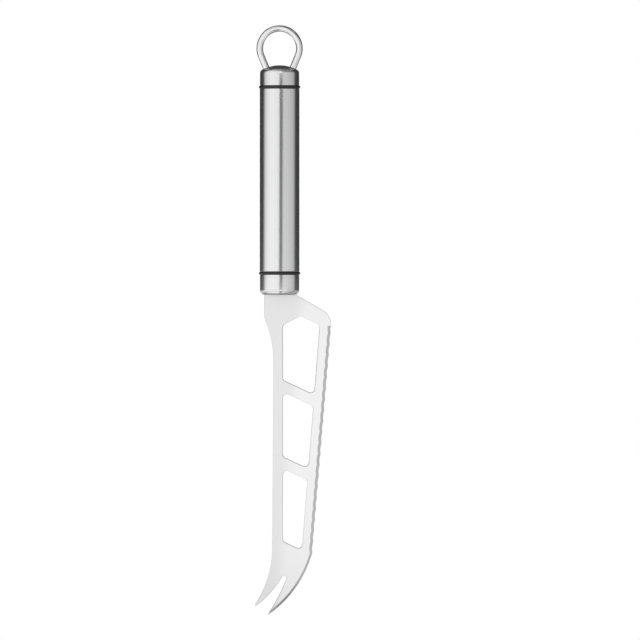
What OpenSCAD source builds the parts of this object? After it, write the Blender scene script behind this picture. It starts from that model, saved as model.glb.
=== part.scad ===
// Cheese knife with a hollow round handle, a wire hanging loop and a forked, windowed blade.
// The handle's axis is Z, and the blade lies in the XZ plane with its cutting edge on +X.
// The origin is the centre of the hanging eye. Lengths are millimetres and angles are degrees.

/* [Hanging loop] */
// Diameter of the loop's round wire
wire_d = 3; // [2.4:0.1:3.4]
// Clear diameter of the hanging eye
eye_d = 14.8; // [12:0.1:17]
// Distance between the loop's upright legs in the rear plug
leg_pitch = 10.9; // [10.4:0.1:11.6]
// Lean of the loop's neck from the handle's axis, square to the dome where it enters
neck_angle = 22.5; // [20:0.5:25]
// Length of the leaning neck below the dome's surface, down to its bend
neck_sink = 0.9; // [0.85:0.05:1.2]
// Radius of the bend from the neck to each upright leg, on the wire's centre line
leg_bend_r = 3; // [2:0.5:4]
// Depth that each leg reaches into the rear plug
leg_grip = 14; // [8:1:20]

/* [Handle] */
// Outer diameter of the handle tube
tube_d = 17.9; // [17:0.1:20]
// Length of the handle tube
tube_len = 82.2; // [70:0.1:110]
// Wall of the handle tube
tube_wall = 0.7; // [0.5:0.1:0.9]
// Outer diameter of both caps
cap_d = 17.7; // [17:0.1:19.4]
// Wall of both caps
cap_wall = 0.7; // [0.5:0.1:0.8]
// Height of the end cap, from its rim to the top of its dome
end_cap_h = 9.15; // [8:0.05:12]
// Radius of the end cap's dome
dome_r = 16.6; // [14:0.1:20]
// Radius of the shoulder between the dome and the side of the end cap
shoulder_r = 1.8; // [1.6:0.1:2.4]
// Height of the front cap, from its rim to its flat mouth
front_cap_h = 9.1; // [8:0.1:12]
// Radius round the front cap's mouth
mouth_r = 2.3; // [1.6:0.1:2.6]
// Small radius on the rims of the tube and the caps
rim_r = 0.2; // [0.15:0.05:0.5]

/* [Rings] */
// Outer diameter of the black rings
ring_d = 18.6; // [18.1:0.1:20.4]
// Width of the black rings along the handle
ring_w = 1.4; // [1:0.1:2]

/* [Plugs and tang] */
// Length of each plug's spigot inside its cap
spigot_h = 5; // [3:0.5:5]
// Solid floor of each plug beyond its leg holes or its slot
plug_floor = 3; // [2:0.5:6]
// Length of the tang above the cap's mouth
tang_len = 44; // [36:1:60]
// Width of the tang
tang_w = 12; // [9:0.5:12.5]
// Corner radius at the tang's end
tang_r = 1.5; // [0.5:0.5:3]
// Diameter of the cross pin
pin_d = 3; // [2:0.5:4]
// Distance of the cross pin below the tang's end
pin_inset = 16; // [8:1:24]

/* [Blade] */
// Length of the blade from the cap's mouth to the tip
blade_len = 143.7; // [130:0.1:160]
// Thickness of the blade's plate
blade_t = 1.5; // [1:0.1:2]
// Distance from the handle's axis to the back of the blade at its root
root_back = 6.85; // [6.6:0.1:8]
// Distance from the handle's axis to the front of the blade at its root
root_front = 7.45; // [6.6:0.1:8]
// Distance from the handle's axis to the back, just below the waist
waist_back = 2.75; // [2:0.05:4]
// Distance from the cap's mouth to the end of the waist
waist_len = 30.1; // [25:0.1:35]
// Radius of the waist's hollow sweep
waist_sweep_r = 48.8; // [35:0.1:60]
// Radius that leads from the root into the waist
waist_lead_r = 5.3; // [3:0.1:8]

/* [Heel and edge] */
// Fall of the heel's sloping shoulder from the horizontal
heel_angle = 30; // [25:1:35]
// Radius of the heel's nose
heel_r = 8; // [6:0.1:10]
// Distance from the cap's mouth to the start of the first scallop
edge_start = 12.4; // [11:0.1:16]
// Distance from the handle's axis to the edge at the start of the first scallop
edge_start_reach = 23.33; // [20:0.01:25]
// Distance from the handle's axis to the edge at the end of the last scallop
edge_end_reach = 14.68; // [13:0.01:17]
// Length of one scallop
scallop_pitch = 4.94; // [3:0.01:8]
// Depth of one scallop, seen from the side
scallop_depth = 0.36; // [0.2:0.01:0.6]
// Length of the first scallop that is left unground
grind_lead = 1.6; // [0:0.1:2.4]
// Width of the ground bevel along the scallops
bevel_w = 1.2; // [0.8:0.05:2]
// Thickness left on the scallops' crests
edge_land = 0.1; // [0.05:0.05:0.3]

/* [Windows] */
// Distance from the handle's axis to the windows' straight back side
window_back = 1.48; // [1:0.01:3]
// Distance from the cap's mouth to the first window's upper back corner
window_top = 13.65; // [12:0.05:17]
// Distance from the handle's axis to the peak of the first window
peak_reach = 9.4; // [7:0.1:12]
// Rise of the first window's short upper side from the horizontal
peak_angle = 28; // [15:1:30]
// Width of the two bars between the windows
bar_w = 4.9; // [4:0.05:7]
// Fall of the bars from the horizontal
bar_angle = 25.3; // [15:0.1:32]
// Width of the rail between the windows and the edge, at the first scallop
edge_rail_top = 5.25; // [4:0.05:7]
// Width of the rail between the windows and the edge, at the last scallop
edge_rail_end = 4.78; // [4:0.01:6]
// Distance from the last window's lower back corner to the tip
last_land = 33; // [31:0.5:38]
// Corner radius of the windows
window_r = 1.8; // [0.5:0.1:2]

/* [Forked tip] */
// Length of the curved tip below the last scallop
tip_len = 27.8; // [24:0.1:34]
// Height of the back's sweep above the front tine's point
back_sweep_h = 30.1; // [26:0.1:34]
// Distance from the handle's axis to the back where its sweep starts
tip_back = 3.35; // [2.5:0.1:4.5]
// Radius of the belly, from the last scallop to the front tine's point
belly_r = 51; // [40:0.5:70]
// Width of the ground bevel along the belly
belly_bevel_w = 1; // [0.6:0.05:1.4]
// Distance from the handle's axis to the front tine's point
front_tine_reach = 5; // [3:0.1:7]
// Radius of the front tine's point
front_tine_r = 0.2; // [0.15:0.05:0.4]
// Height of the back tine's point above the front tine's point
tine_step = 4; // [2:0.1:6]
// Distance from the handle's axis to the back tine's point
back_tine_reach = 10.55; // [9.5:0.05:12]
// Radius of the back tine's point
back_tine_r = 0.5; // [0.3:0.05:0.7]
// Radius of the back tine's hollow outer side
back_sweep_r = 45; // [40:0.1:60]
// Depth of the fork's gap above the front tine's point
fork_depth = 17.5; // [15:0.1:19]
// Distance from the handle's axis to the root of the fork's gap
fork_reach = 2; // [1:0.1:3]
// Radius at the root of the fork's gap
fork_r = 1.1; // [0.6:0.1:1.3]
// Radius of the gap's side on the back tine
gap_back_r = 42; // [28:0.5:50]
// Radius of the gap's side on the front tine
gap_front_r = 85; // [60:1:140]
// Lean of both tines' points from the handle's axis
tine_lean = 44; // [38:1:50]

/* [Hidden] */
$fn = 96;
// Facets of the large cylinders that grind the scallops
grind_facets = 240;
// Steps in each drawn curve of the blade
curve_steps = 16;
// Steps in each window corner
corner_steps = 6;
// Clearance round every piece that is pressed or slid into another
fit_gap = 0.05;
// Overrun of every cut
overrun = 1;
// Length that the wire's straight stretches reach into its bends, and how much slimmer they are there
wire_lap = 0.15;
wire_step = 0.01;

// Radii of the handle's pieces
tube_r = tube_d / 2;
cap_r = cap_d / 2;
spigot_r = cap_r - cap_wall - fit_gap;
plug_r = tube_r - tube_wall - fit_gap;

// The loop's wire runs on a circle, leaves it on a slant and bends upright under the dome
eye_r = (eye_d + wire_d) / 2;
leg_x = leg_pitch / 2;
bend_x = leg_x + leg_bend_r;
bend_z = (bend_x * cos(neck_angle) - eye_r - leg_bend_r) / sin(neck_angle);
slant_foot = [bend_x - leg_bend_r * cos(neck_angle), bend_z + leg_bend_r * sin(neck_angle)];
slant_head = [eye_r * cos(neck_angle), -eye_r * sin(neck_angle)];

// Levels along the handle, counted down from the eye's centre
neck_mouth = slant_foot + neck_sink * [sin(neck_angle), cos(neck_angle)];
crown_z = neck_mouth.y + dome_r - sqrt(dome_r * dome_r - neck_mouth.x * neck_mouth.x);
end_rim_z = crown_z - end_cap_h;
tube_top_z = end_rim_z - ring_w;
tube_bottom_z = tube_top_z - tube_len;
front_rim_z = tube_bottom_z - ring_w;
mouth_z = front_rim_z - front_cap_h;
leg_end_z = end_rim_z + spigot_h - leg_grip;

// Ends of the scalloped edge, and its lean from the handle's axis
edge_top = [edge_start_reach, -edge_start];
edge_end = [edge_end_reach, tip_len - blade_len];
edge_span = norm(edge_end - edge_top);
edge_lean = atan2(edge_top.x - edge_end.x, edge_top.y - edge_end.y);
scallop_count = floor(edge_span / scallop_pitch);

// The grinding cylinder's slope and radius follow from the bevel and the scallop's depth
bevel_angle = atan2((blade_t - edge_land) / 2, bevel_w);
grind_depth = scallop_depth * sin(bevel_angle);
grind_r = (pow(scallop_pitch / 2, 2) + pow(grind_depth, 2)) / (2 * grind_depth);

// Places of the two bars, as shares of the windows' whole height
bar_shares = [0.281, 0.636];
window_span = blade_len - last_land - window_top;
bar_half = bar_w / 2 / cos(bar_angle);

// Centres of the tines' round points and of the gap's round root
front_point = [-front_tine_reach, front_tine_r - blade_len];
back_point = [-back_tine_reach, tine_step + back_tine_r - blade_len];
gap_root = [fork_reach, fork_depth - fork_r - blade_len];
// Leans of the gap's two sides where they leave its root
gap_back_lean = 33;
gap_front_lean = 10;

// Points on a circle, from one angle to another
function arc(centre, r, from, to, steps = curve_steps) =
    [for (i = [0:steps])
        let (angle = from + (to - from) * i / steps)
        centre + r * [cos(angle), sin(angle)]];

// Points of a curve of one radius between two points; a positive radius turns to the left
function curve(p, q, r, steps = curve_steps) =
    let (
        half = norm(q - p) / 2,
        left = [p.y - q.y, q.x - p.x] / (2 * half),
        centre = (p + q) / 2 + sign(r) * sqrt(r * r - half * half) * left,
        turn = 2 * sign(r) * asin(half / abs(r)),
        from = atan2(p.y - centre.y, p.x - centre.x)
    )
    arc(centre, abs(r), from, from + turn, steps);

// Outline of a convex polygon, listed anticlockwise, with every corner rounded to one radius
function rounded(corners, r) =
    [for (i = [0:len(corners) - 1])
        let (
            here = corners[i],
            last = corners[(i + len(corners) - 1) % len(corners)],
            next = corners[(i + 1) % len(corners)],
            into = (here - last) / norm(here - last),
            away = (next - here) / norm(next - here),
            turn = acos(into * away),
            start = here - into * r * tan(turn / 2),
            centre = start + r * [-into.y, into.x],
            from = atan2(-into.x, into.y)
        )
        each arc(centre, r, from, from + turn, corner_steps)];

// Back of the root, hollowed into the waist by two curves that meet without a kink
waist_step = root_back - waist_back;
waist_turn = acos(1 - waist_step / (waist_lead_r + waist_sweep_r));
waist_h = (waist_lead_r + waist_sweep_r) * sin(waist_turn);
function waist() = concat(
    arc([waist_lead_r - root_back, waist_h - waist_len], waist_lead_r, 180, 180 + waist_turn),
    arc([-waist_back - waist_sweep_r, -waist_len], waist_sweep_r, waist_turn, 0)
);

// Both tines with the gap between them
function fork() = concat(
    curve(
        [-tip_back, back_sweep_h - blade_len],
        back_point + back_tine_r * [-cos(tine_lean), sin(tine_lean)],
        -back_sweep_r
    ),
    arc(back_point, back_tine_r, 180 - tine_lean, 360 - tine_lean),
    curve(
        back_point + back_tine_r * [cos(tine_lean), -sin(tine_lean)],
        gap_root + fork_r * [-cos(gap_back_lean), sin(gap_back_lean)],
        gap_back_r
    ),
    arc(gap_root, fork_r, 180 - gap_back_lean, -gap_front_lean),
    curve(
        gap_root + fork_r * [cos(gap_front_lean), -sin(gap_front_lean)],
        front_point + front_tine_r * [-cos(tine_lean), sin(tine_lean)],
        -gap_front_r
    ),
    arc(front_point, front_tine_r, 180 - tine_lean, 360 - tine_lean)
);

// Smooth belly up to the last scallop
belly_foot = front_point + front_tine_r * [cos(tine_lean), -sin(tine_lean)];
function belly() = curve(belly_foot, edge_end, belly_r);

// Round nose of the heel, tangent to the edge's line and to the sloping shoulder above it
edge_slope = tan(edge_lean);
shoulder_slope = tan(heel_angle);
nose_x = (edge_top.x - edge_slope * (edge_top.y + heel_r / cos(heel_angle) - root_front * shoulder_slope)
    - heel_r / cos(edge_lean)) / (1 + edge_slope * shoulder_slope);
nose_centre = [nose_x, (root_front - nose_x) * shoulder_slope - heel_r / cos(heel_angle)];
function heel() = concat(arc(nose_centre, heel_r, -edge_lean, 90 - heel_angle), [[root_front, 0]]);

// The windows' front side, as the place where a line from the back side falls to it
rail_top = edge_top - [edge_rail_top, 0];
rail_end = edge_end - [edge_rail_end, 0];
rail_slope = (rail_top.x - rail_end.x) / (rail_top.y - rail_end.y);
function rail_corner(y) =
    let (
        slope = tan(bar_angle),
        x = (rail_top.x + rail_slope * (y + slope * window_back - rail_top.y)) / (1 + rail_slope * slope)
    )
    [x, y - slope * (x - window_back)];

// Four-sided window between two heights on its back side
function window(top, bottom) = [
    [window_back, top],
    [window_back, bottom],
    rail_corner(bottom),
    rail_corner(top)
];

// The three windows; the first has a peaked top
bar_y = [for (share = bar_shares) -window_top - share * window_span];
peak = [peak_reach, (peak_reach - window_back) * tan(peak_angle) - window_top];
peak_foot_y = peak.y + (peak_reach - window_back) * tan(bar_angle);
windows = [
    [
        [window_back, -window_top],
        [window_back, bar_y[0] + bar_half],
        rail_corner(bar_y[0] + bar_half),
        rail_corner(peak_foot_y),
        peak
    ],
    window(bar_y[0] - bar_half, bar_y[1] + bar_half),
    window(bar_y[1] - bar_half, last_land - blade_len)
];

// Round wire along a straight stretch of the leg, whose ends lap inside the bends that it joins
module leg_rod(foot, lean, length, foot_lap)
    translate([foot.x, 0, foot.y]) rotate([0, lean, 0]) translate([0, 0, -foot_lap])
        cylinder(r = wire_d / 2 - wire_step, h = length + foot_lap + wire_lap);

// Round wire along a bend in the XZ plane
module wire_bend(centre, r, from, turn)
    rotate([90, 0, 0]) translate(centre) rotate([0, 0, from])
        rotate_extrude(angle = turn) translate([r, 0]) circle(d = wire_d);

module leg() {
    leg_rod(slant_foot, neck_angle, norm(slant_head - slant_foot), wire_lap);
    wire_bend([bend_x, bend_z], leg_bend_r, 180 - neck_angle, neck_angle);
    leg_rod([leg_x, leg_end_z], 0, bend_z - leg_end_z, 0);
}

// Both upright holes of the legs, for the rear plug
module leg_holes(bottom, height)
    for (side = [-1, 1])
        translate([side * leg_x, 0, bottom]) cylinder(r = wire_d / 2 + fit_gap, h = height);

// Both holes of the leaning neck, for the dome
module neck_holes()
    for (side = [-1, 1])
        translate([side * slant_foot.x, 0, slant_foot.y]) rotate([0, side * neck_angle, 0])
            translate([0, 0, -overrun]) cylinder(r = wire_d / 2 + fit_gap, h = neck_sink + 2 * overrun);

module hanging_loop() color("gainsboro") {
    wire_bend([0, 0], eye_r, -neck_angle, 180 + 2 * neck_angle);
    leg();
    mirror([1, 0, 0]) leg();
}

// Half section of a domed cylinder with a rounded shoulder
module dome_section(r, h, crown_r, edge_r) {
    low = h - crown_r;
    side_h = low + sqrt(pow(crown_r - edge_r, 2) - pow(r - edge_r, 2));
    square([r, side_h]);
    translate([r - edge_r, side_h]) circle(r = edge_r);
    intersection() {
        translate([0, low]) circle(r = crown_r);
        polygon([[0, low], [2 * (r - edge_r), low + 2 * (side_h - low)], [0, low + 2 * crown_r]]);
        square([r, h]);
    }
}

module end_cap() color("silver") difference() {
    translate([0, 0, end_rim_z]) rotate_extrude() difference() {
        union() {
            intersection() {
                dome_section(cap_r, end_cap_h, dome_r, shoulder_r);
                translate([0, rim_r]) square([cap_r, end_cap_h]);
            }
            square([cap_r - rim_r, rim_r]);
            translate([cap_r - rim_r, rim_r]) circle(r = rim_r);
        }
        dome_section(cap_r - cap_wall, end_cap_h - cap_wall, dome_r - cap_wall, shoulder_r - cap_wall);
    }
    neck_holes();
}

// Ring with a round outer edge, from the level given upwards
module seal_ring(bottom)
    translate([0, 0, bottom]) rotate_extrude() intersection() {
        union() {
            square([(ring_d - ring_w) / 2, ring_w]);
            translate([(ring_d - ring_w) / 2, ring_w / 2]) circle(d = ring_w);
        }
        translate([spigot_r + fit_gap, 0]) square([ring_d, ring_w]);
    }

module rear_ring() color("black") seal_ring(tube_top_z);

module front_ring() color("black") seal_ring(front_rim_z);

module rear_plug() color("dimgray") difference() {
    foot_z = leg_end_z - plug_floor;
    union() {
        translate([0, 0, tube_top_z]) cylinder(r = spigot_r, h = ring_w + spigot_h);
        translate([0, 0, foot_z]) cylinder(r = plug_r, h = tube_top_z - foot_z);
    }
    leg_holes(leg_end_z - fit_gap, leg_grip + overrun);
}

module handle_tube() color("silver")
    translate([0, 0, tube_bottom_z]) rotate_extrude() {
        translate([tube_r - tube_wall, 0]) square([tube_wall - rim_r, tube_len]);
        translate([tube_r - tube_wall, rim_r]) square([tube_wall, tube_len - 2 * rim_r]);
        for (y = [rim_r, tube_len - rim_r])
            translate([tube_r - rim_r, y]) circle(r = rim_r);
    }

// Flat bar that the tang fills, for the tang's slots
module tang_slot(bottom, top)
    translate([-tang_w / 2 - fit_gap, -blade_t / 2 - fit_gap, bottom])
        cube([tang_w + 2 * fit_gap, blade_t + 2 * fit_gap, top - bottom]);

// Half section of the front cap, mouth down, with a rounded mouth
module cup_section(r, h, edge_r) {
    translate([0, edge_r]) square([r, h - edge_r]);
    square([r - edge_r, h]);
    translate([r - edge_r, edge_r]) circle(r = edge_r);
}

module front_cap() color("silver") difference() {
    translate([0, 0, mouth_z]) rotate_extrude() difference() {
        union() {
            cup_section(cap_r, front_cap_h - rim_r, mouth_r);
            translate([0, mouth_r]) square([cap_r - rim_r, front_cap_h - mouth_r]);
            translate([cap_r - rim_r, front_cap_h - rim_r]) circle(r = rim_r);
        }
        translate([0, cap_wall]) cup_section(cap_r - cap_wall, front_cap_h, mouth_r - cap_wall);
    }
    tang_slot(mouth_z - overrun, mouth_z + cap_wall + overrun);
}

// Cross bar through the plug and the tang
module cross_pin(r, length)
    translate([0, 0, mouth_z + tang_len - pin_inset]) rotate([90, 0, 0]) cylinder(r = r, h = length, center = true);

module tang_plug() color("dimgray") difference() {
    union() {
        translate([0, 0, front_rim_z - spigot_h]) cylinder(r = spigot_r, h = spigot_h + ring_w);
        translate([0, 0, tube_bottom_z])
            cylinder(r = plug_r, h = mouth_z + tang_len + plug_floor - tube_bottom_z);
    }
    tang_slot(mouth_z, mouth_z + tang_len + fit_gap);
    cross_pin(pin_d / 2 + fit_gap, tube_d);
}

module tang_pin() color("gainsboro")
    cross_pin(pin_d / 2, 2 * sqrt(plug_r * plug_r - pin_d * pin_d / 4) - 2 * fit_gap);

// Plate of the blade and its tang, before grinding
module blade_plate()
    rotate([90, 0, 0]) linear_extrude(height = blade_t, center = true) {
        difference() {
            polygon(concat([[-root_back, 0]], waist(), fork(), belly(), heel()));
            for (corners = windows) polygon(rounded(corners, window_r));
        }
        polygon(concat(
            [[-tang_w / 2, 0], [tang_w / 2, 0]],
            arc([tang_w / 2 - tang_r, tang_len - tang_r], tang_r, 0, 90, corner_steps),
            arc([tang_r - tang_w / 2, tang_len - tang_r], tang_r, 90, 180, corner_steps)
        ));
    }

// Row of grinding cylinders for one face, whose axes lie along the bevel
module scallop_row()
    for (i = [0:scallop_count - 1])
        translate([0, -edge_land / 2, -(i + 0.5) * scallop_pitch])
            rotate([0, 0, bevel_angle]) translate([0, grind_depth - grind_r, 0])
                rotate([0, 90, 0]) cylinder(r = grind_r, h = 4 * bevel_w, center = true, $fn = grind_facets);

module scallops()
    translate([edge_top.x, 0, edge_top.y]) rotate([0, edge_lean, 0]) intersection() {
        union() {
            scallop_row();
            mirror([0, 1, 0]) scallop_row();
        }
        translate([-2 * bevel_w, -blade_t, -edge_span - scallop_pitch])
            cube([4 * bevel_w, 2 * blade_t, edge_span + scallop_pitch - grind_lead]);
    }

// Conical grind of the belly, on both faces, below the last scallop
belly_half = norm(edge_end - belly_foot) / 2;
belly_left = [belly_foot.y - edge_end.y, edge_end.x - belly_foot.x] / (2 * belly_half);
belly_centre = (belly_foot + edge_end) / 2 + sqrt(belly_r * belly_r - belly_half * belly_half) * belly_left;
belly_rise = (blade_t - edge_land) / 2 / belly_bevel_w;
module belly_grind()
    intersection() {
        for (side = [0, 1])
            translate([belly_centre.x, 0, belly_centre.y]) rotate([90, 0, 0]) mirror([0, 0, side])
                rotate_extrude() polygon([
                    [belly_r - belly_bevel_w - overrun, blade_t / 2 + overrun * belly_rise],
                    [belly_r + overrun, edge_land / 2 - overrun * belly_rise],
                    [belly_r + overrun, blade_t / 2 + overrun * belly_rise]
                ]);
        translate([-back_tine_reach, -blade_t, -blade_len - overrun])
            cube([
                back_tine_reach + edge_start_reach,
                2 * blade_t,
                tip_len + scallop_pitch / 2 + overrun
            ]);
    }

module blade() color("whitesmoke") difference() {
    translate([0, 0, mouth_z]) difference() {
        blade_plate();
        scallops();
        belly_grind();
    }
    cross_pin(pin_d / 2 + fit_gap, tube_d);
}

hanging_loop();
end_cap();
rear_ring();
rear_plug();
handle_tube();
front_ring();
front_cap();
tang_plug();
tang_pin();
blade();
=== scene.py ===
# %% [markdown]
# # A cheese knife in stainless steel
# The knife has a flat, windowed blade, a round hollow handle with two black rings, and a wire loop to
# hang it by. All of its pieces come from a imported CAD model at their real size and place. This lesson
# gives them their finish, remakes the pieces that need finer meshes, and lights them.

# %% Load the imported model
import math

import bmesh
import bpy
from mathutils import Matrix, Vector
from mathutils.bvhtree import BVHTree


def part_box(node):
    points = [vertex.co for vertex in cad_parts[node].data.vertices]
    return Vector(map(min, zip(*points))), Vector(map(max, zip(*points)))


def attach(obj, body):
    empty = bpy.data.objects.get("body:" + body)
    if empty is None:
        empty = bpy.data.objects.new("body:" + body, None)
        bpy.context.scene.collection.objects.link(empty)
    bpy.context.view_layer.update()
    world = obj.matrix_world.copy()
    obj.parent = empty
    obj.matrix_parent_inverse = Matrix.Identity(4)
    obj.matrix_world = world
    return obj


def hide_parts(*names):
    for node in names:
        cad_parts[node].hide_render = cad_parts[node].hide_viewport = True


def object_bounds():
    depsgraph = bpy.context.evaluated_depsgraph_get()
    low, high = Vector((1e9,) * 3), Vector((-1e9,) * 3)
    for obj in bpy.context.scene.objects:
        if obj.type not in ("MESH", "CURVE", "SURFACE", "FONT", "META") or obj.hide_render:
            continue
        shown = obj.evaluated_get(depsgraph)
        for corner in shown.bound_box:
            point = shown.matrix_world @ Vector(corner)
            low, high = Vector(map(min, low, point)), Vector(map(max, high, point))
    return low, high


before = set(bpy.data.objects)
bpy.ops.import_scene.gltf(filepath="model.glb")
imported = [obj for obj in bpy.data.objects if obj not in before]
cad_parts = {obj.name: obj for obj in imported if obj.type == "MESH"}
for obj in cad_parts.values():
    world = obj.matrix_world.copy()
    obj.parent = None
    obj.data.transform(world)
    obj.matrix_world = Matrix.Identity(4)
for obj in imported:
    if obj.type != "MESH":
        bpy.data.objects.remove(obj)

MM = 0.001
cad_low, cad_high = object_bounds()
print("CAD box in mm:", [round(v / MM, 2) for v in (*cad_low, *cad_high)])

# %% [markdown]
# ## The camera
# Product photographs are taken from far away with a long lens, so that nothing looks tapered. The
# model has the knife's real length, so its length in the picture gives the size of one pixel at the
# blade. From that and one landmark, the centre of the hanging eye, follow the camera's place and lens.

# %% Place the camera
KNIFE_LENGTH_PX = 589.4
EYE_X_PX, EYE_Y_PX = 279.6, 48.4
PICTURE_PX = 640
CAMERA_DISTANCE = 6
SENSOR_MM = 36

pixel = (cad_high[2] - cad_low[2]) / KNIFE_LENGTH_PX
half_picture = PICTURE_PX / 2
camera_data = bpy.data.cameras.new("camera")
camera_data.sensor_width = SENSOR_MM
camera_data.lens = SENSOR_MM * CAMERA_DISTANCE / (PICTURE_PX * pixel)
camera = bpy.data.objects.new("camera", camera_data)
camera.location = ((half_picture - EYE_X_PX) * pixel, -CAMERA_DISTANCE, (EYE_Y_PX - half_picture) * pixel)
camera.rotation_euler = (math.radians(90), 0, 0)
bpy.context.scene.collection.objects.link(camera)
bpy.context.scene.camera = camera
bpy.context.scene.view_settings.view_transform = "Standard"
print("lens in mm:", round(camera_data.lens, 1), "camera at", [round(v, 4) for v in camera.location])

# %% [markdown]
# ## Small helpers for node trees
# Materials are trees of nodes, and so are Geometry Nodes. They could be wired by hand in the editor, but
# a script shows every value and can be run again. Three short helpers keep it readable: one adds a node
# and sets its properties, one feeds an input, and one starts a material with nothing but its output.


# %% Add a node, feed an input, start a material
def add_node(tree, kind, **settings):
    node = tree.nodes.new(kind)
    for name, value in settings.items():
        setattr(node, name, value)
    return node


def feed(tree, value, socket):
    """Links the output of another node to a socket, or sets the socket where the value is plain."""
    if isinstance(value, bpy.types.NodeSocket):
        tree.links.new(value, socket)
    else:
        socket.default_value = value


def new_material(name):
    material = bpy.data.materials.new(name)
    material.use_nodes = True
    tree = material.node_tree
    tree.nodes.clear()
    output = add_node(tree, "ShaderNodeOutputMaterial")
    return material, tree, output


print("helpers for node trees ready")

# %% [markdown]
# ## Light
# Polished metal has hardly any colour of its own: it shows what stands round it. Lamps would give it
# small hot spots, so there are none. The knife hangs in a plain white world of strength 1, at which a
# colour renders about as it is written, and curved cards of grey and black stand round it where a
# photographer would hang them. The camera looks through them, so that the background stays white.

# %% The white world
WORLD_WHITE = (1, 1, 1, 1)
WORLD_STRENGTH = 1

world = bpy.data.worlds.new("white_studio")
world.use_nodes = True
world.node_tree.nodes["Background"].inputs["Color"].default_value = WORLD_WHITE
world.node_tree.nodes["Background"].inputs["Strength"].default_value = WORLD_STRENGTH
bpy.context.scene.world = world
print("white world of strength", WORLD_STRENGTH)

# %% Card paper, which glows as bright as the tone written on its points
card_paper, tree, output = new_material("card_paper")
tone = add_node(tree, "ShaderNodeAttribute", attribute_name="tone")
glow = add_node(tree, "ShaderNodeEmission")
feed(tree, tone.outputs["Fac"], glow.inputs["Color"])
feed(tree, glow.outputs[0], output.inputs["Surface"])
card_paper.cycles.emission_sampling = "NONE"
print("card paper made")

# %% [markdown]
# ## Cards round the knife
# A photographer's card is a sheet of grey paper. A plane in one tone would do, but its edge would show
# in the steel as a hard line. So each card here is a strip that bends round the handle's axis, and each
# of its points has a tone of its own, which runs on into the next one's.


# %% Hang a curved card
CARD_STEPS = 8


def hang_card(name, azimuths, *rows):
    """A card that bends round the handle's axis. Azimuth 0 is towards the camera and 90 towards +X.
    Each row gives a height, a radius and one tone for each azimuth, in metres and in shares of white."""
    points, tones = [], []
    spans = len(azimuths) - 1
    columns = spans * CARD_STEPS + 1
    for column in range(columns):
        span = min(column // CARD_STEPS, spans - 1)
        share = column / CARD_STEPS - span
        azimuth = math.radians(azimuths[span] * (1 - share) + azimuths[span + 1] * share)
        for height, radius, *row_tones in rows:
            points.append((radius * math.sin(azimuth), -radius * math.cos(azimuth), height))
            tones.append(row_tones[span] * (1 - share) + row_tones[span + 1] * share)
    high = len(rows)
    corners = [high * column + row for column in range(columns - 1) for row in range(high - 1)]
    faces = [(corner, corner + high, corner + high + 1, corner + 1) for corner in corners]
    mesh = bpy.data.meshes.new(name)
    mesh.from_pydata(points, [], faces)
    mesh.attributes.new("tone", "FLOAT", "POINT").data.foreach_set("value", tones)
    mesh.materials.append(card_paper)
    card = bpy.data.objects.new(name, mesh)
    card.visible_camera = False
    card.visible_diffuse = False
    bpy.context.scene.collection.objects.link(card)
    print(name, "from", azimuths[0], "to", azimuths[-1], "degrees")


print("ready to hang cards")

# %% [markdown]
# A round handle shows the cards by a simple rule: a wall that faces an azimuth shows what stands at
# twice that azimuth. So its dark sides are dark paper behind it, its bright left half is the bright
# card on the left, its calmer right half is the greyer card on the right, and its thin middle line is
# one narrow dark card straight in front. Below the handle the cards turn bright for the flat blade.

# %% The cards beside the handle and the blade
WALL, NEAR_FRONT = 0.36, 0.05
CARD_TOP, BELOW_MOUTH, BESIDE_HEEL, CARD_FOOT = 0.40, -0.112, -0.126, -0.20
DARK = 0.05

hang_card(
    "left_card", (-165, -108, -90, -75, -45, -1),
    (CARD_FOOT, WALL, 0.60, 0.80, 1.05, 1.05, 1.03, 1.00),
    (BESIDE_HEEL, WALL, 0.25, 0.32, 1.05, 1.05, 1.03, 1.00),
    (BELOW_MOUTH, WALL, DARK, DARK, 0.74, 0.94, 1.05, 0.96),
    (0.02, WALL, DARK, DARK, 0.68, 0.86, 0.97, 0.88),
    (CARD_TOP, WALL, DARK, DARK, 0.60, 0.80, 0.90, 0.85),
)
hang_card(
    "right_card", (16, 45, 75, 90, 103, 165),
    (CARD_FOOT, WALL, 1.00, 0.85, 0.70, 0.60, 0.50, 0.50),
    (BESIDE_HEEL, WALL, 1.00, 0.85, 0.70, 0.60, 0.22, 0.22),
    (BELOW_MOUTH, WALL, 0.73, 0.71, 0.64, 0.55, DARK, DARK),
    (0.0, WALL, 0.65, 0.63, 0.52, 0.42, DARK, DARK),
    (0.10, WALL, 0.64, 0.60, 0.45, 0.38, DARK, DARK),
    (0.22, WALL, 0.30, 0.22, 0.18, 0.16, DARK, DARK),
    (CARD_TOP, WALL, 0.30, 0.16, 0.14, 0.12, DARK, DARK),
)
hang_card(
    "thin_card_front", (-1, 16),
    (-0.109, NEAR_FRONT, 0.22, 0.22),
    (-0.010, NEAR_FRONT, 0.18, 0.18),
)

# %% [markdown]
# A skirt closes the circle below. It falls off towards the floor, so that the flat blade greys a little
# towards its tip instead of shining like paper. Two low cards lie under it for the rounded mouth of the
# front cap: they carry the handle's bright left half and its thin middle line round the lip. One more
# card stands close to the cutting edge, and greys the ground bevels.

# %% The skirt, the low cards and the card beside the cutting edge
SKIRT_TONES = (0.60, 0.60, 0.80, 1.00, 0.95, 1.00, 1.00, 0.85, 0.70, 0.60, 0.50, 0.50, 0.60)
SKIRT_DROP = ((-0.45, 0.55), (-0.36, 0.68), (-0.30, 0.82), (-0.25, 0.95), (-0.225, 0.98), (CARD_FOOT, 1.0))
LOW_HEIGHT, LOW_WALL, LOW_CENTRE = -0.59, 0.34, 0.03
NEAR_EDGE = 0.07

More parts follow.
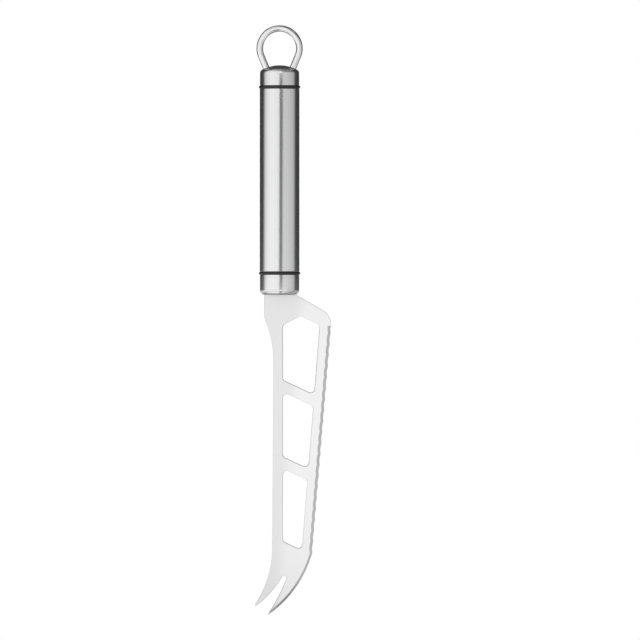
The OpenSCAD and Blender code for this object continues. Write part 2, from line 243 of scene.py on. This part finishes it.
hang_card(
    "skirt", (-180, -165, -112, -90, -45, -1, 16, 45, 75, 90, 105, 165, 180),
    *[(height, WALL, *[tone * share for tone in SKIRT_TONES]) for height, share in SKIRT_DROP],
)
hang_card(
    "low_card_middle", (-1, 16),
    (LOW_HEIGHT, LOW_CENTRE, 0.16, 0.16),
    (LOW_HEIGHT, LOW_WALL, 0.16, 0.16),
    (-0.325, LOW_WALL, 0.16, 0.16),
    (-0.30, LOW_WALL, 0.55, 0.55),
    (-0.28, LOW_WALL, 0.97, 0.97),
)
hang_card(
    "low_card_left", (-100, -1),
    (LOW_HEIGHT, LOW_CENTRE, 1.10, 1.10),
    (LOW_HEIGHT, LOW_WALL, 1.10, 1.10),
    (-0.38, LOW_WALL, 1.05, 1.05),
)
hang_card(
    "edge_card", (48, 62, 78, 90, 102),
    (-0.34, NEAR_EDGE, 0.12, 0.10, 0.10, 0.10, 0.10),
    (-0.30, NEAR_EDGE, 0.25, 0.20, 0.20, 0.20, 0.20),
    (-0.27, NEAR_EDGE, 0.62, 0.55, 0.55, 0.30, 0.30),
    (-0.114, NEAR_EDGE, 0.62, 0.54, 0.54, 0.30, 0.30),
)

# %% [markdown]
# The domed end cap and the wire loop look up. Over them hangs a ceiling that is darker on the right,
# and behind them a dark hood, which gives the wire its dark outline and the dome its dark crown.

# %% The hood and the ceiling
HOOD_WALL, HOOD_TOP_WALL = 0.30, 0.22
CEILING_EDGE, CEILING_MIDDLE, CEILING_CENTRE = 0.32, 0.15, 0.01

hang_card(
    "rear_hood", (100, 260),
    (0.03, HOOD_WALL, DARK, DARK),
    (0.36, HOOD_WALL, DARK, DARK),
    (0.44, HOOD_TOP_WALL, 0.10, 0.10),
)
hang_card(
    "ceiling", (-180, -100, -20, 30, 100, 180),
    (CARD_TOP, CEILING_EDGE, 0.40, 0.60, 0.50, 0.20, 0.10, 0.40),
    (0.46, CEILING_MIDDLE, 0.40, 0.60, 0.50, 0.20, 0.10, 0.40),
    (0.48, CEILING_CENTRE, 0.25, 0.25, 0.25, 0.25, 0.25, 0.25),
)

# %% [markdown]
# ## Floor
# The knife hangs by its eye, so the floor lies well below the tip, a plain pale disc. A disc that ends
# in a line would draw a horizon, so it grows as white as the world towards its rim. It shows from above
# only: a view from below looks through its back.

# %% Lay the floor
FLOOR_HEIGHT = -0.6
FLOOR_RADIUS = 3.2
FLOOR_SIDES = 96

floor_mesh = bpy.data.meshes.new("floor")
rim = bmesh.new()
bmesh.ops.create_circle(rim, cap_ends=True, segments=FLOOR_SIDES, radius=FLOOR_RADIUS)
rim.to_mesh(floor_mesh)
rim.free()
floor_mesh.transform(Matrix.Translation((0, 0, FLOOR_HEIGHT)))
floor = bpy.data.objects.new("floor", floor_mesh)
bpy.context.scene.collection.objects.link(floor)
print("floor at", FLOOR_HEIGHT, "m")

# %% [markdown]
# The floor's tone follows the distance from its middle. Most finishes below work in the same way: they
# read the point's place on the piece, do a short sum with it, and turn the result into a tone.


# %% From a place to a tone
def place_on(tree):
    """The point's place on its piece, in metres."""
    return add_node(tree, "ShaderNodeTexCoord").outputs["Object"]


def vector_node(tree, operation, *values):
    node = add_node(tree, "ShaderNodeVectorMath", operation=operation)
    for value, socket in zip(values, node.inputs):
        feed(tree, value, socket)
    return node.outputs["Value" if operation == "LENGTH" else "Vector"]


def map_range(tree, value, low, high, to_low, to_high, kind="SMOOTHSTEP"):
    """Turns the range from low to high into the range from to_low to to_high, and stops at its ends."""
    ramp = add_node(tree, "ShaderNodeMapRange", interpolation_type=kind)
    for number, socket in zip((value, low, high, to_low, to_high), ramp.inputs):
        feed(tree, number, socket)
    return ramp.outputs[0]


print("helpers for places and tones ready")

# %% Paint the floor
FLOOR_TONE = 0.88
FLOOR_NEAR, FLOOR_FAR = 0.6, 3.0
LEVEL = (1, 1, 0)

floor_paint, tree, output = new_material("pale_floor")
from_middle = vector_node(tree, "LENGTH", vector_node(tree, "MULTIPLY", place_on(tree), LEVEL))
plain = add_node(tree, "ShaderNodeBsdfDiffuse")
clear = add_node(tree, "ShaderNodeBsdfTransparent")
upper = add_node(tree, "ShaderNodeMixShader")
feed(tree, map_range(tree, from_middle, FLOOR_NEAR, FLOOR_FAR, FLOOR_TONE, 1), plain.inputs["Color"])
feed(tree, add_node(tree, "ShaderNodeNewGeometry").outputs["Backfacing"], upper.inputs[0])
feed(tree, plain.outputs[0], upper.inputs[1])
feed(tree, clear.outputs[0], upper.inputs[2])
feed(tree, upper.outputs[0], output.inputs["Surface"])
floor_mesh.materials.append(floor_paint)
print("floor painted, from", FLOOR_TONE, "to white")

# %% [markdown]
# ## Steel finishes
# Stainless steel is a metal with a grey tint, and its finish is in its grain. The handle is turned, so
# fine lines run round it and spread each reflection along its axis. The grain could be a picture, but a
# noise that is stretched along the lines has no seam and stays sharp at any distance. It moves the
# tint, the roughness and the height a little. The spread of the reflections themselves comes from the
# shader's anisotropy, because real grain is far finer than a pixel.


# %% Noise and mixed colours
MIX_SHARE, MIX_FIRST, MIX_SECOND, MIX_RESULT = 0, 6, 7, 2


def noise_on(tree, place, scale, detail):
    noise = add_node(tree, "ShaderNodeTexNoise")
    for value, name in ((place, "Vector"), (scale, "Scale"), (detail, "Detail")):
        feed(tree, value, noise.inputs[name])
    return noise.outputs["Fac"]


def mix_colours(tree, share, first, second, blend="MIX"):
    """A Mix node has sockets for every kind of data, so those of its colours are known by number."""
    mix = add_node(tree, "ShaderNodeMix", data_type="RGBA", blend_type=blend)
    for value, number in ((share, MIX_SHARE), (first, MIX_FIRST), (second, MIX_SECOND)):
        feed(tree, value, mix.inputs[number])
    return mix.outputs[MIX_RESULT]


def toned(colour, share=1):
    """The colour times a share, with the alpha that a colour socket needs."""
    return (*[channel * share for channel in colour], 1)


print("helpers for noise and colours ready")


# %% Steel with a grain
GRAIN_TINT = 0.97
GRAIN_ROUGH_LOW, GRAIN_ROUGH_HIGH = 0.95, 1.05
GRAIN_STRENGTH = 0.3
GRAIN_DETAIL = 3


def brushed_steel(name, colour, roughness, spread, lines, depth):
    """Metal with fine lines. lines says how fast they change along X, Y and Z, per metre."""
    material, tree, output = new_material(name)
    stretch = add_node(tree, "ShaderNodeMapping")
    feed(tree, place_on(tree), stretch.inputs["Vector"])
    feed(tree, lines, stretch.inputs["Scale"])
    grain = noise_on(tree, stretch.outputs[0], 1, GRAIN_DETAIL)
    tint = mix_colours(tree, grain, toned(colour, GRAIN_TINT), toned(colour))
    rough = map_range(tree, grain, 0, 1, roughness * GRAIN_ROUGH_LOW, roughness * GRAIN_ROUGH_HIGH, "LINEAR")
    bump = add_node(tree, "ShaderNodeBump")
    bump.inputs["Strength"].default_value = GRAIN_STRENGTH
    bump.inputs["Distance"].default_value = depth
    feed(tree, grain, bump.inputs["Height"])

    shader = add_node(tree, "ShaderNodeBsdfPrincipled")
    shader.inputs["Metallic"].default_value = 1
    shader.inputs["Anisotropic"].default_value = spread
    feed(tree, tint, shader.inputs["Base Color"])
    feed(tree, rough, shader.inputs["Roughness"])
    feed(tree, bump.outputs[0], shader.inputs["Normal"])
    feed(tree, shader.outputs[0], output.inputs["Surface"])
    return material, tree, shader


print("brushed steel ready")


# %% Turned steel, with lines round the handle
TURNED_LINES = (60, 60, 7000)
TURNED_DEPTH = 0.0002 * MM
QUARTER_TURN = 0.25


def turned_steel(name, colour, roughness, spread):
    material, tree, shader = brushed_steel(name, colour, roughness, spread, TURNED_LINES, TURNED_DEPTH)
    around = add_node(tree, "ShaderNodeTangent", direction_type="RADIAL", axis="Z")
    feed(tree, around.outputs[0], shader.inputs["Tangent"])
    shader.inputs["Anisotropic Rotation"].default_value = QUARTER_TURN
    return material, tree, shader


# The colour, roughness and spread of each
HANDLE_FINISH = ((0.845, 0.845, 0.85), 0.22, 0.5)
PIN_FINISH = ((0.6, 0.6, 0.6), 0.35, 0.3)

tube_steel, _, _ = turned_steel("turned_tube_steel", *HANDLE_FINISH)
pin_steel, _, _ = turned_steel("turned_pin_steel", *PIN_FINISH)
print("turned steel made for the tube and the pin")

# %% [markdown]
# The wire of the loop isn't turned but drawn and polished. Its grain has no direction, its reflections
# don't spread, and it is the smoothest of the steels.

# %% Polished steel for the wire
WIRE_COLOUR = (0.88, 0.88, 0.885)
WIRE_ROUGHNESS, WIRE_SPREAD = 0.16, 0
WIRE_GRAIN = (900, 900, 900)
WIRE_GRAIN_DEPTH = 0.0003 * MM

wire_steel, _, _ = brushed_steel(
    "polished_wire_steel", WIRE_COLOUR, WIRE_ROUGHNESS, WIRE_SPREAD, WIRE_GRAIN, WIRE_GRAIN_DEPTH
)
print("polished steel made for the wire")

# %% [markdown]
# ## The two caps
# The caps are turned like the tube. Their tint is darkened as painted shade in the corner round each leg
# of the loop, and under the rolled lip where the blade comes out. The front cap also has one hairline,
# turned just below its ring. A painted picture could darken all three, but each of them follows a
# distance on the cap, so a short sum and a soft step are enough. The end cap is the same on both sides,
# so its places are folded to one side, and one sum serves both legs. The painted shade darkens the tint,
# but at a grazing angle metal hides its tint, so round the legs the steel is rougher as well.


# %% Sums, and darker places in a finish
def math_node(tree, operation, *values):
    node = add_node(tree, "ShaderNodeMath", operation=operation)
    for value, socket in zip(values, node.inputs):
        feed(tree, value, socket)
    return node.outputs[0]


def darken(tree, shader, *shares):
    """Multiplies the base colour by each share."""
    base = shader.inputs["Base Color"]
    for share in shares:
        feed(tree, mix_colours(tree, 1, base.links[0].from_socket, share, "MULTIPLY"), base)


print("helpers for sums and darker places ready")

# %% Steel of the end cap, with painted shade round the feet of the loop
LEG_FOOT = (5.6 * MM, 0, 8 * MM)
FOOT_SHADE_SQUEEZE = (2, 1, 1.3)
FOOT_SHADE_FROM, FOOT_SHADE_TO = 3 * MM, 7.5 * MM
FOOT_SHADE_TONE, FOOT_ROUGHEN = 0.3, 0.5

end_cap_steel, tree, shader = turned_steel("turned_end_cap_steel", *HANDLE_FINISH)
folded = vector_node(tree, "ABSOLUTE", place_on(tree))
from_foot = vector_node(tree, "SUBTRACT", folded, LEG_FOOT)
way = vector_node(tree, "LENGTH", vector_node(tree, "MULTIPLY", from_foot, FOOT_SHADE_SQUEEZE))
# Painted shade: the tint darkens near each leg's foot, where the leg enters the cap.
darken(tree, shader, map_range(tree, way, FOOT_SHADE_FROM, FOOT_SHADE_TO, FOOT_SHADE_TONE, 1))
foot_roughen = map_range(tree, way, FOOT_SHADE_FROM, FOOT_SHADE_TO, FOOT_ROUGHEN, 0)
rough = shader.inputs["Roughness"]
feed(tree, math_node(tree, "ADD", foot_roughen, rough.links[0].from_socket), rough)
print("end cap steel made, with film up to", round(FOOT_SHADE_TO / MM, 1), "mm from each leg")


# %% Steel of the front cap, with its hairline and painted shade at its lip
LIP_SHADE_FULL, LIP_SHADE_TOP = 0.5 * MM, 1.2 * MM
LIP_SHADE_TONE = 0.45
HAIRLINE_Z = -103 * MM
HAIRLINE_HALF = 0.2 * MM
HAIRLINE_TONE = 0.8


def axes_of(tree, place):
    split = add_node(tree, "ShaderNodeSeparateXYZ")
    feed(tree, place, split.inputs[0])
    return split.outputs


mouth_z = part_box("front_cap")[0].z
front_cap_steel, tree, shader = turned_steel("turned_front_cap_steel", *HANDLE_FINISH)
_, _, z = axes_of(tree, place_on(tree))
# Painted shade: the tint darkens just above the mouth, where the blade comes out of the cap.
lip_shade = map_range(tree, z, mouth_z + LIP_SHADE_FULL, mouth_z + LIP_SHADE_TOP, LIP_SHADE_TONE, 1)
off_line = math_node(tree, "ABSOLUTE", math_node(tree, "SUBTRACT", z, HAIRLINE_Z))
hairline = map_range(tree, off_line, 0, HAIRLINE_HALF, HAIRLINE_TONE, 1)
darken(tree, shader, lip_shade, hairline)
print("front cap steel made, with its mouth at", round(mouth_z / MM, 2), "mm")

# %% [markdown]
# ## The blade's steel
# The blade is rolled sheet with a satin finish, brighter than the handle. Its lines run along it and
# spread each reflection across it. Behind a faint ridge that runs down it, and again towards its tip,
# its tint is painted a little greyer, as painted shade for faces that catch less light. Its ground bevels
# are painted darker than its flats, partly for the grind's own finish and partly as painted shade. The
# first two follow the place on the blade. The bevels are marked below with an attribute on the mesh,
# because no simple sum tells them from the flats.

# %% Satin steel for the blade, with painted shade towards its back and its tip
BLADE_COLOUR = (0.925, 0.925, 0.93)
BLADE_ROUGHNESS, BLADE_SPREAD = 0.28, 0.7
SATIN_LINES = (5000, 5000, 120)
SATIN_DEPTH = 0.0003 * MM
RIDGE_X, RIDGE_Z, RIDGE_SLOPE = 9 * MM, -119 * MM, 0.075
RIDGE_WIDTH = 8 * MM
BACK_SHADE_TONE = 0.895
TIP_SHADE_FROM, TIP_SHADE_TO, TIP_SHADE_TONE = -222 * MM, -255 * MM, 0.97
GROUND_GRIND_AND_SHADE_TONE = 0.9

blade_steel, tree, shader = brushed_steel(
    "satin_blade_steel", BLADE_COLOUR, BLADE_ROUGHNESS, BLADE_SPREAD, SATIN_LINES, SATIN_DEPTH
)
across = add_node(tree, "ShaderNodeTangent", direction_type="RADIAL", axis="Z")
feed(tree, across.outputs[0], shader.inputs["Tangent"])
x, _, z = axes_of(tree, place_on(tree))
# Painted shade: the tint is greyer behind the ridge and towards the tip.
lean = math_node(tree, "MULTIPLY", math_node(tree, "SUBTRACT", z, RIDGE_Z), RIDGE_SLOPE)
off_ridge = math_node(tree, "SUBTRACT", math_node(tree, "SUBTRACT", x, RIDGE_X), lean)
back_shade = map_range(tree, off_ridge, -RIDGE_WIDTH / 2, RIDGE_WIDTH / 2, BACK_SHADE_TONE, 1)
tip_shade = map_range(tree, z, TIP_SHADE_TO, TIP_SHADE_FROM, TIP_SHADE_TONE, 1)
# The bevels are darker partly for their grind's own finish and partly as painted shade.
ground_share = add_node(tree, "ShaderNodeAttribute", attribute_name="ground").outputs["Fac"]
bevel = map_range(tree, ground_share, 0, 1, 1, GROUND_GRIND_AND_SHADE_TONE, "LINEAR")
darken(tree, shader, back_shade, tip_shade, bevel)
print("blade steel made, with its ridge", round(RIDGE_X / MM, 1), "mm from the axis at the heel")

# %% [markdown]
# ## Rubber and plastic
# The two rings are black rubber with a satin skin, and the plugs inside the handle are moulded plastic.
# One even black would look painted. What makes a moulded piece look moulded is that its gloss isn't
# even, so a fine noise moves the roughness and the colour by a fifth.


# %% Black rubber and hidden plastic
FLECK_LOW, FLECK_HIGH = 0.8, 1.2
FLECK_DETAIL = 4


def moulded(name, colour, roughness, flecks):
    """A matt material whose gloss varies. flecks says how fast it varies, per metre."""
    material, tree, output = new_material(name)
    fleck = noise_on(tree, place_on(tree), flecks, FLECK_DETAIL)
    rough = map_range(tree, fleck, 0, 1, roughness * FLECK_LOW, roughness * FLECK_HIGH, "LINEAR")
    shader = add_node(tree, "ShaderNodeBsdfPrincipled")
    feed(tree, rough, shader.inputs["Roughness"])
    tint = mix_colours(tree, fleck, toned(colour, FLECK_LOW), toned(colour, FLECK_HIGH))
    feed(tree, tint, shader.inputs["Base Color"])
    feed(tree, shader.outputs[0], output.inputs["Surface"])
    return material


# The colour, roughness and flecks of each
RING_FINISH = ((0.014, 0.014, 0.0145), 0.42, 2500)
PLUG_FINISH = ((0.12, 0.12, 0.12), 0.55, 1200)

ring_black = moulded("black_ring_rubber", *RING_FINISH)
plug_grey = moulded("plug_plastic", *PLUG_FINISH)
print("rubber and plastic made")

# %% [markdown]
# ## The hanging loop
# The loop is one round wire, bent to a circle, leaned in to its neck and bent back into the cap. A bend
# can be drawn by hand as a curve, but every stretch of this wire follows a rule, so Geometry Nodes draw
# it from six sizes. Arcs give the bends. The straight stretches need no points of their own, because
# one curve is drawn through all of the arcs' points in turn. The left half mirrors the right one.

# %% Sizes of the wire loop
LEG_PITCH = 10.9 * MM
NECK_ANGLE = math.radians(22.5)
FOOT_BEND_RADIUS = 3 * MM

loop_low, loop_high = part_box("hanging_loop")
wire_radius = (loop_high.y - loop_low.y) / 2
eye_radius = loop_high.z - wire_radius
loop_sizes = {
    "Wire radius": wire_radius, "Eye radius": eye_radius, "Neck angle": NECK_ANGLE,
    "Foot bend radius": FOOT_BEND_RADIUS, "Leg pitch": LEG_PITCH, "Leg end": loop_low.z,
}
print("wire", round(2 * wire_radius / MM, 2), "mm thick")
print("eye", round(2 * (eye_radius - wire_radius) / MM, 2), "mm clear")


# %% Points on an arc, each with its number along the wire
def numbered(tree, points, number):
    store = add_node(tree, "GeometryNodeStoreNamedAttribute", data_type="FLOAT", domain="POINT")
    for value, name in ((points, "Geometry"), ("order", "Name"), (number, "Value")):
        feed(tree, value, store.inputs[name])
    return store.outputs[0]


def arc_points(tree, count, radius, start, sweep, first_order, step):
    """Points along an arc, numbered from first_order by step for the curve that joins them later."""
    arc = add_node(tree, "GeometryNodeCurveArc")
    sizes = ((count, "Resolution"), (radius, "Radius"), (start, "Start Angle"), (sweep, "Sweep Angle"))
    for value, name in sizes:
        feed(tree, value, arc.inputs[name])
    points = add_node(tree, "GeometryNodeCurveToPoints", mode="EVALUATED")
    feed(tree, arc.outputs["Curve"], points.inputs["Curve"])
    index = add_node(tree, "GeometryNodeInputIndex").outputs[0]
    order = math_node(tree, "MULTIPLY_ADD", index, step, first_order)
    return numbered(tree, points.outputs["Points"], order)


print("arc nodes ready")


# %% Move and join what the nodes have drawn
def placed(tree, geometry, x=0, y=0, turn=(0, 0, 0), scale=(1, 1, 1)):
    place = add_node(tree, "ShaderNodeCombineXYZ")
    feed(tree, x, place.inputs["X"])
    feed(tree, y, place.inputs["Y"])
    move = add_node(tree, "GeometryNodeTransform")
    moves = ((geometry, "Geometry"), (place.outputs[0], "Translation"), (turn, "Rotation"), (scale, "Scale"))
    for value, name in moves:
        feed(tree, value, move.inputs[name])
    return move.outputs[0]


def joined(tree, *parts):
    join = add_node(tree, "GeometryNodeJoinGeometry")
    for part in parts:
        feed(tree, part, join.inputs[0])
    return join.outputs[0]


print("moving and joining nodes ready")


# %% The right half of the wire, drawn flat, from the top of the eye to the end of the leg
EYE_POINTS = 90
BEND_POINTS = 16


def right_half_wire(tree, sizes):
    neck, eye, bend = sizes["Neck angle"], sizes["Eye radius"], sizes["Foot bend radius"]
    leg_x = math_node(tree, "DIVIDE", sizes["Leg pitch"], 2)
    bend_x = math_node(tree, "ADD", leg_x, bend)
    reach = math_node(tree, "MULTIPLY", bend_x, math_node(tree, "COSINE", neck))
    drop = math_node(tree, "SUBTRACT", reach, math_node(tree, "ADD", eye, bend))
    bend_y = math_node(tree, "DIVIDE", drop, math_node(tree, "SINE", neck))

    neck_start = math_node(tree, "MULTIPLY", neck, -1)
    up_to_top = math_node(tree, "ADD", neck, math.pi / 2)
    top_half = arc_points(tree, EYE_POINTS, eye, neck_start, up_to_top, EYE_POINTS, -1)
    bend_start = math_node(tree, "SUBTRACT", math.pi, neck)
    foot = arc_points(tree, BEND_POINTS, bend, bend_start, neck, EYE_POINTS + 1, 1)
    last_order = add_node(tree, "ShaderNodeValue").outputs[0]
    last_order.default_value = EYE_POINTS + BEND_POINTS + 2
    leg_end = numbered(tree, add_node(tree, "GeometryNodePoints").outputs[0], last_order)
    return joined(
        tree, top_half, placed(tree, foot, bend_x, bend_y), placed(tree, leg_end, leg_x, sizes["Leg end"])
    )


print("half of the wire ready:", EYE_POINTS + BEND_POINTS + 1, "points")


# %% The whole wire: mirror the half and draw one curve through it
SAME_POINT = 0.001 * MM


def wire_line(tree, sizes):
    right_half = right_half_wire(tree, sizes)
    order_node = add_node(tree, "GeometryNodeInputNamedAttribute", data_type="FLOAT")
    feed(tree, "order", order_node.inputs["Name"])
    order = order_node.outputs["Attribute"]
    left_half = numbered(tree, right_half, math_node(tree, "MULTIPLY", order, -1))
    left_half = placed(tree, left_half, scale=(-1, 1, 1))
    once = add_node(tree, "GeometryNodeMergeByDistance")
    feed(tree, joined(tree, right_half, left_half), once.inputs["Geometry"])
    feed(tree, SAME_POINT, once.inputs["Distance"])
    line = add_node(tree, "GeometryNodePointsToCurves")
    feed(tree, once.outputs[0], line.inputs["Points"])
    feed(tree, order, line.inputs["Weight"])
    return placed(tree, line.outputs[0], turn=(math.pi / 2, 0, 0))


print("line of the wire ready")


# %% Sweep a circle along the line and give it its steel
WIRE_SIDES = 40


def wire_loop_tree(names, finish):
    tree = bpy.data.node_groups.new("wire_loop", "GeometryNodeTree")
    tree.interface.new_socket("Geometry", in_out="OUTPUT", socket_type="NodeSocketGeometry")
    for name in names:
        tree.interface.new_socket(name, in_out="INPUT", socket_type="NodeSocketFloat")
    sizes = add_node(tree, "NodeGroupInput").outputs
    section = add_node(tree, "GeometryNodeCurvePrimitiveCircle")
    feed(tree, WIRE_SIDES, section.inputs["Resolution"])
    feed(tree, sizes["Wire radius"], section.inputs["Radius"])
    sweep = add_node(tree, "GeometryNodeCurveToMesh")
    feed(tree, wire_line(tree, sizes), sweep.inputs["Curve"])
    feed(tree, section.outputs["Curve"], sweep.inputs["Profile Curve"])
    feed(tree, True, sweep.inputs["Fill Caps"])
    real = add_node(tree, "GeometryNodeRealizeInstances")
    feed(tree, sweep.outputs[0], real.inputs[0])
    coat = add_node(tree, "GeometryNodeSetMaterial")
    feed(tree, real.outputs[0], coat.inputs["Geometry"])
    feed(tree, finish, coat.inputs["Material"])
    feed(tree, coat.outputs[0], add_node(tree, "NodeGroupOutput").inputs[0])
    return tree


loop_tree = wire_loop_tree(loop_sizes, wire_steel)
print("wire loop tree:", len(loop_tree.nodes), "nodes")


# %% Turn the nodes' result into a plain mesh
def keep_result(piece):
    """Replaces a piece's mesh by what its modifiers make of it, and takes the modifiers off."""
    ready = piece.evaluated_get(bpy.context.evaluated_depsgraph_get())
    mesh = bpy.data.meshes.new_from_object(ready)
    piece.modifiers.clear()
    piece.data = mesh


def grow(name, tree, sizes):
    """Runs a Geometry Nodes tree with the given sizes."""
    piece = bpy.data.objects.new(name, bpy.data.meshes.new(name))
    bpy.context.scene.collection.objects.link(piece)
    modifier = piece.modifiers.new("shape", "NODES")
    modifier.node_group = tree
    for socket in tree.interface.items_tree:
        if socket.in_out == "INPUT":
            modifier[socket.identifier] = sizes[socket.name]
    keep_result(piece)
    return piece


hanging_wire = grow("hanging_wire", loop_tree, loop_sizes)
print("hanging wire:", len(hanging_wire.data.polygons), "faces")

# %% Smooth the wire and put it in the CAD loop's place
SMOOTH_UNDER = math.radians(40)

hanging_wire.data.shade_smooth()
hanging_wire.data.set_sharp_from_angle(angle=SMOOTH_UNDER)
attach(hanging_wire, "root")
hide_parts("hanging_loop")
print("the wire replaces hanging_loop")

# %% [markdown]
# ## The blade
# The blade is a stamped and ground plate. A stamped edge is never dead sharp: tumbling breaks it, and
# that narrow rounding is what catches the light round the windows. The ground cutting edge stays keen.
# A Bevel modifier would round them all alike, so a copy of the CAD blade gets its stamped edges beveled
# one group at a time, more round the windows than outside, and the ground ones are left alone. The CAD
# mesh is loose triangles, so they are first joined to whole faces, whose edges can be told apart.


# %% Tell flats, walls and stamped edges apart
FLAT_NORMAL_OVER, WALL_NORMAL_UNDER = 0.999, 0.02


def is_flat(face):
    return abs(face.normal.y) > FLAT_NORMAL_OVER


def is_wall(face):
    return abs(face.normal.y) < WALL_NORMAL_UNDER


def stamped(edge):
    """True for an edge between a flat side and an upright wall that shows outside the handle."""
    kinds = [is_flat(face) - is_wall(face) for face in edge.link_faces]
    return sorted(kinds) == [-1, 1] and any(v.co.z < mouth_z for v in edge.verts)


def in_window(edge, solid):
    """True where the edge's wall looks at another wall of the blade."""
    wall = next(face for face in edge.link_faces if is_wall(face))
    start = wall.calc_center_median() + wall.normal * SAME_POINT
    return solid.ray_cast(start, wall.normal)[0] is not None


print("edge tests ready")


# %% Copy the blade and mark its ground faces
FLAT_WITHIN = math.radians(0.2)


def merged_copy(node_name):
    """A copy of a CAD node's mesh to edit, with the points of its loose triangles merged."""
    copy = bmesh.new()
    copy.from_mesh(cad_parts[node_name].data)
    bmesh.ops.remove_doubles(copy, verts=copy.verts, dist=SAME_POINT)
    return copy


plate = merged_copy("blade")
bmesh.ops.dissolve_limit(plate, angle_limit=FLAT_WITHIN, verts=plate.verts, edges=plate.edges)
plate.normal_update()
ground = plate.faces.layers.float.new("ground")
for face in plate.faces:
    face[ground] = not is_flat(face) and not is_wall(face)
print("ground faces:", round(sum(face[ground] for face in plate.faces)), "of", len(plate.faces))


# %% Break the stamped edges
WINDOW_BREAK = 0.22 * MM
OUTLINE_BREAK = 0.12 * MM


def break_edges(edges, width):
    bmesh.ops.bevel(
        plate, geom=edges, offset=width, offset_type="OFFSET", segments=1, affect="EDGES",
        clamp_overlap=False,
    )
    plate.normal_update()
    print(len(edges), "edges broken by", round(width / MM, 2), "mm")


solid = BVHTree.FromBMesh(plate)
break_edges([edge for edge in plate.edges if stamped(edge) and in_window(edge, solid)], WINDOW_BREAK)
break_edges([edge for edge in plate.edges if stamped(edge)], OUTLINE_BREAK)

# %% [markdown]
# A smooth shade that runs over the corner of a flat face bends its reflections, and the flat looks
# dented. So the flats and all of their edges stay sharp. Only the walls round the corners and the
# hollows of the grind are shaded smoothly, and the grind only within one scallop.

# %% Keep the flats flat, and smooth only what is round
SMOOTH_WALL = math.radians(50)
SMOOTH_GRIND = math.radians(8)
MOSTLY = 0.5

for face in plate.faces:
    face.smooth = not is_flat(face)
for edge in plate.edges:
    on_grind = any(face[ground] > MOSTLY for face in edge.link_faces)
    at_flat = any(is_flat(face) for face in edge.link_faces)
    edge.smooth = not at_flat and edge.calc_face_angle(0) < (SMOOTH_GRIND if on_grind else SMOOTH_WALL)
bmesh.ops.triangulate(plate, faces=[face for face in plate.faces if is_flat(face)])
print("sharp edges:", sum(not edge.smooth for edge in plate.edges), "of", len(plate.edges))

# %% [markdown]
# Beveling leaves a mesh's points and faces in an order that can change from run to run. That doesn't
# show, but a file of the mesh would differ each time. So all of them are numbered by their place.


# %% Put the blade's points, edges and faces in a fixed order
def in_order(parts, place):
    for number, part in enumerate(sorted(parts, key=place)):
        part.index = number
    parts.sort()


in_order(plate.verts, lambda point: tuple(point.co))
in_order(plate.edges, lambda edge: sorted(tuple(point.co) for point in edge.verts))
in_order(plate.faces, lambda face: tuple(face.calc_center_median()))
print("in order:", len(plate.verts), "points,", len(plate.edges), "edges,", len(plate.faces), "faces")

# %% Put the blade in the CAD blade's place
blade_mesh = bpy.data.meshes.new("blade_plate")
plate.to_mesh(blade_mesh)
plate.free()
blade_mesh.materials.append(blade_steel)
blade_plate = bpy.data.objects.new("blade_plate", blade_mesh)
bpy.context.scene.collection.objects.link(blade_plate)
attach(blade_plate, "root")
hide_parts("blade")
print("blade:", len(blade_mesh.polygons), "faces")

# %% [markdown]
# ## The turned shells
# The tube and the caps keep the CAD's shape, but a CAD mesh is loose triangles, each with its own flat
# shade, and that shows as teeth along the fine rolled rims. They could be turned anew from a profile,
# but a copy whose doubles are merged has the very same shape and can be shaded smoothly. Weighted
# normals let the large faces decide, so that the long wall stays straight.


# %% Copy the shells and shade them smoothly
def smooth_shell(node_name, finish):
    shell = merged_copy(node_name)
    mesh = bpy.data.meshes.new(node_name + "_shell")
    shell.to_mesh(mesh)
    shell.free()
    mesh.shade_smooth()
    mesh.set_sharp_from_angle(angle=SMOOTH_UNDER)
    mesh.materials.clear()
    mesh.materials.append(finish)
    piece = bpy.data.objects.new(node_name + "_shell", mesh)
    bpy.context.scene.collection.objects.link(piece)
    piece.modifiers.new("weighted normals", "WEIGHTED_NORMAL").keep_sharp = True
    keep_result(piece)
    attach(piece, "root")
    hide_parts(node_name)
    print(piece.name, len(piece.data.polygons), "faces")


smooth_shell("end_cap", end_cap_steel)
smooth_shell("front_cap", front_cap_steel)
smooth_shell("handle_tube", tube_steel)

# %% [markdown]
# ## Dress the CAD's own pieces
# The rings, the plugs and the pin are right as the CAD made them, so they stay, and only their material
# changes. The nodes that were replaced are hidden, but they get their finish too, so that no piece of
# the model is left in plain grey.

# %% Dress the CAD nodes
FINISHES = {
    "end_cap": end_cap_steel, "front_cap": front_cap_steel, "handle_tube": tube_steel,
    "rear_ring": ring_black, "front_ring": ring_black,
    "rear_plug": plug_grey, "tang_plug": plug_grey, "tang_pin": pin_steel,
    "hanging_loop": wire_steel, "blade": blade_steel,
}
for node_name, finish in FINISHES.items():
    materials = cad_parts[node_name].data.materials
    materials.clear()
    materials.append(finish)
print("dressed", len(FINISHES), "nodes")
